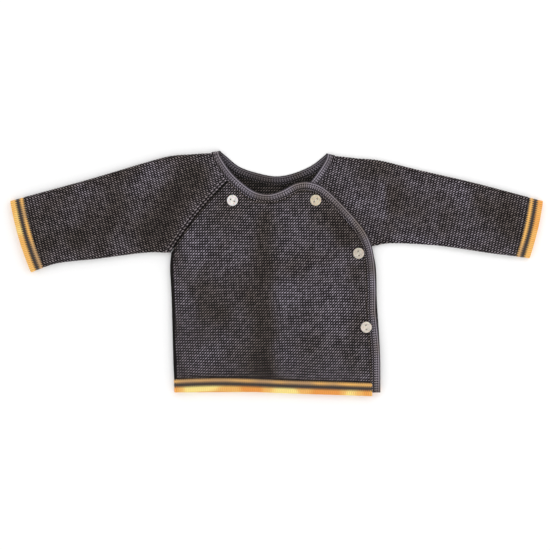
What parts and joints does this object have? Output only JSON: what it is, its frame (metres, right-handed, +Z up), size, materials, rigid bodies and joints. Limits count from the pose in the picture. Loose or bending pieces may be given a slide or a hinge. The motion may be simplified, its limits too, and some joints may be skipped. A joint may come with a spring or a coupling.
{
  "type": "baby cardigan",
  "caption": "Knitted baby cardigan with raglan sleeves and a crossed, buttoned front, striped hem and cuffs, laid flat.",
  "frame": {"origin": "on the surface the cardigan lies on, under the middle of its outline", "axes": "+X to the wearer's left along the sleeves, +Y from hem to neck, +Z up off the surface, front of the garment up"},
  "size_m": [0.5746, 0.2645, 0.0132],
  "materials": {
    "garter_knit": "charcoal wool in garter stitch, matt and slightly fuzzy",
    "rib_band": "charcoal wool in fine rib, matt",
    "striped_trim": "wool in fine rib, mustard stripes with a charcoal one between them, matt",
    "button_pearl": "cream shell-like plastic, polished"
  },
  "bodies": {
    "root": {"back_panel": "garter_knit", "front_over": "garter_knit", "front_under": "garter_knit", "sleeve_right": "garter_knit", "sleeve_left": "garter_knit", "band_over": "rib_band", "band_under": "rib_band", "band_back_neck": "rib_band", "hem_over": "striped_trim", "hem_under": "striped_trim", "hem_back": "striped_trim", "cuff_right": "striped_trim", "cuff_left": "striped_trim", "button_neck_right": "button_pearl", "button_neck_left": "button_pearl", "button_side_upper": "button_pearl", "button_side_lower": "button_pearl"}
  },
  "joints": []
}
